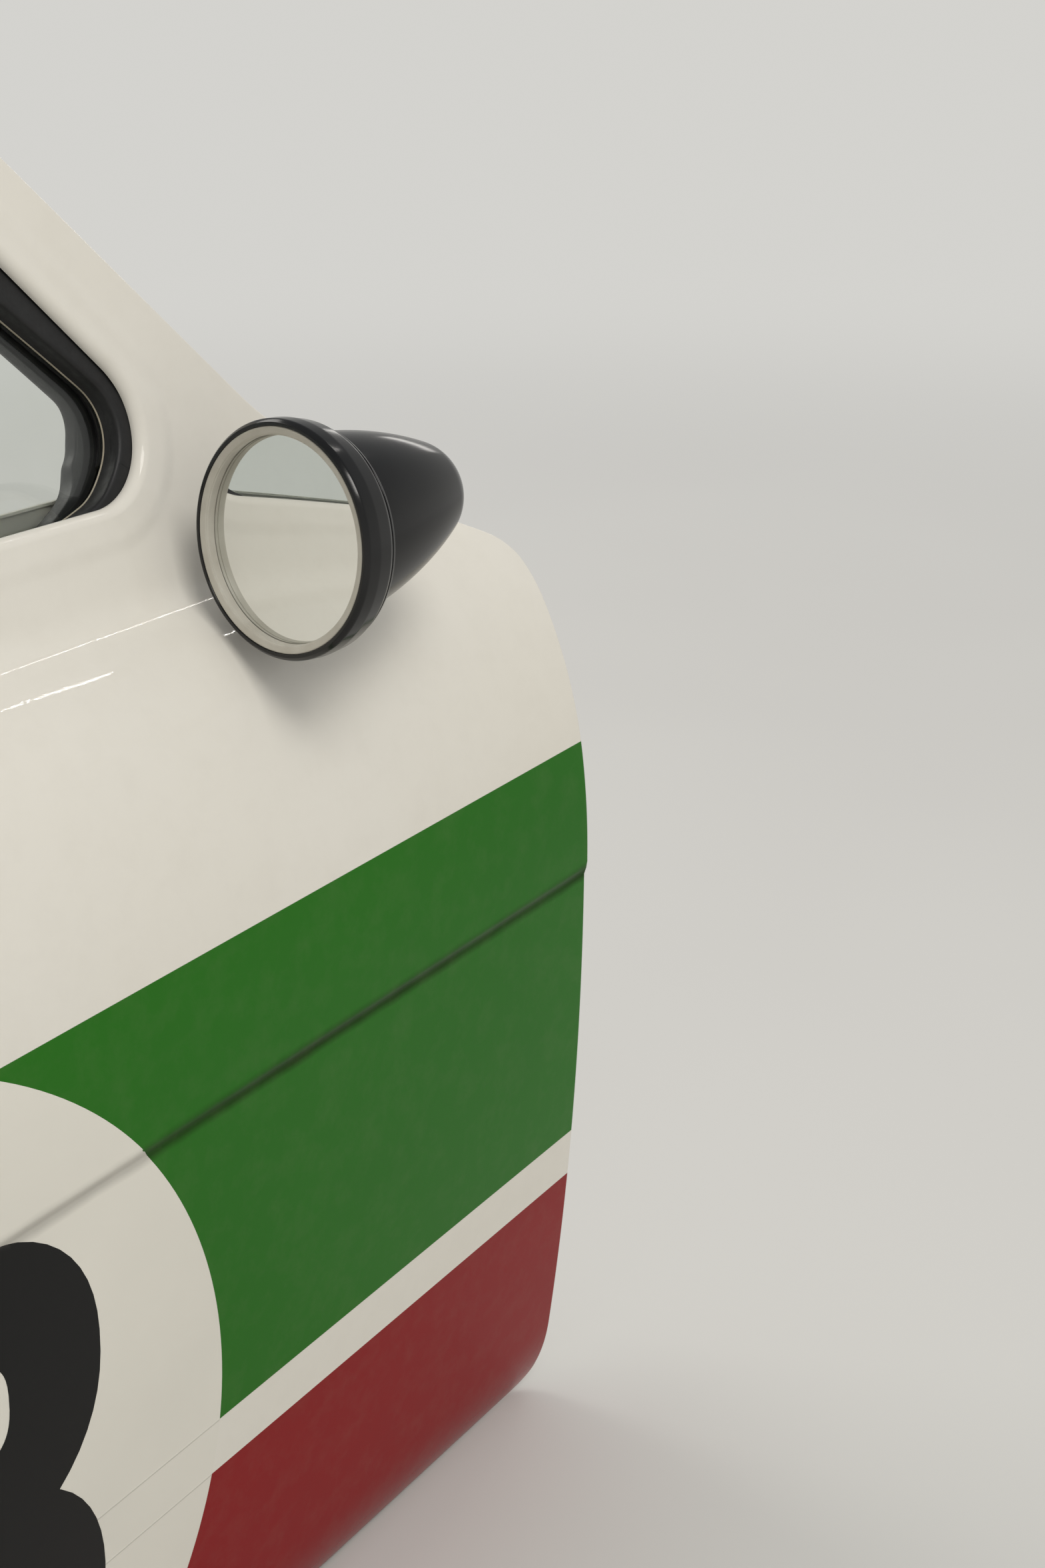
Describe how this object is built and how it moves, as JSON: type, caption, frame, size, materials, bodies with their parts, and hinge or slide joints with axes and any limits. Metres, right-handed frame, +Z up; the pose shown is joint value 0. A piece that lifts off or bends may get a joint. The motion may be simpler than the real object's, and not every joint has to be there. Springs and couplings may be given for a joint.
{
  "type": "rally car door",
  "caption": "Right-hand front door of a two-door rally car with bullet door mirror, framed window, trim, hinges and white, green and red livery",
  "frame": {"origin": "centre of the two bolt holes on the pillar face of the upper hinge's pillar pad", "axes": "+X towards the car's front, +Y inboard towards the car's left side, +Z up"},
  "size_m": [1.147, 0.3, 1.041],
  "materials": {
    "livery_paint": "gloss, white with green and red bands and a number roundel",
    "white_paint": "gloss",
    "window_glass": "clear",
    "seal_rubber": "matt",
    "black_trim": "grained",
    "card_vinyl": "grained black vinyl",
    "handle_chrome": "polished",
    "latch_steel": "zinc plated",
    "hinge_steel": "painted with the body",
    "pin_steel": "bright",
    "mirror_black": "gloss",
    "ring_grey": "satin",
    "mirror_silver": "silvered",
    "cup_plastic": "matt"
  },
  "bodies": {
    "pillar": {"upper_hinge_pillar_leaf": "hinge_steel", "lower_hinge_pillar_leaf": "hinge_steel", "upper_hinge_pin": "pin_steel", "lower_hinge_pin": "pin_steel"},
    "door": {"door_skin": "livery_paint", "inner_pressing": "white_paint", "window_glass": "window_glass", "window_seal": "seal_rubber", "outer_waist_seal": "seal_rubber", "inner_waist_rail": "black_trim", "weatherstrip": "seal_rubber", "door_card": "card_vinyl", "outer_handle": "handle_chrome", "lock_barrel": "handle_chrome", "door_latch": "latch_steel", "grab_handle": "black_trim", "inner_release": "handle_chrome", "window_winder": "handle_chrome", "upper_hinge_door_leaf": "hinge_steel", "lower_hinge_door_leaf": "hinge_steel", "mirror_foot": "mirror_black", "mirror_gasket": "seal_rubber"},
    "mirror_joint": {"mirror_friction_cup": "cup_plastic"},
    "mirror_head": {"mirror_shell": "mirror_black", "mirror_rim": "mirror_black", "mirror_inner_ring": "ring_grey", "mirror_glass": "mirror_silver"}
  },
  "joints": [
    {"name": "door_swing", "type": "hinge", "parent": "pillar", "child": "door", "pos_m": [-0.029, -0.062, 0], "axis": [0, 0, 1], "range_deg": [0, 65]},
    {"name": "mirror_pan", "type": "hinge", "parent": "door", "child": "mirror_joint", "pos_m": [-0.185, -0.072, 0.165], "axis": [0, 0, 1], "range_deg": [-4, 12]},
    {"name": "mirror_tilt", "type": "hinge", "parent": "mirror_joint", "child": "mirror_head", "pos_m": [-0.185, -0.072, 0.165], "axis": [0.0958, 0.9954, 0], "range_deg": [-2.5, 10]}
  ]
}
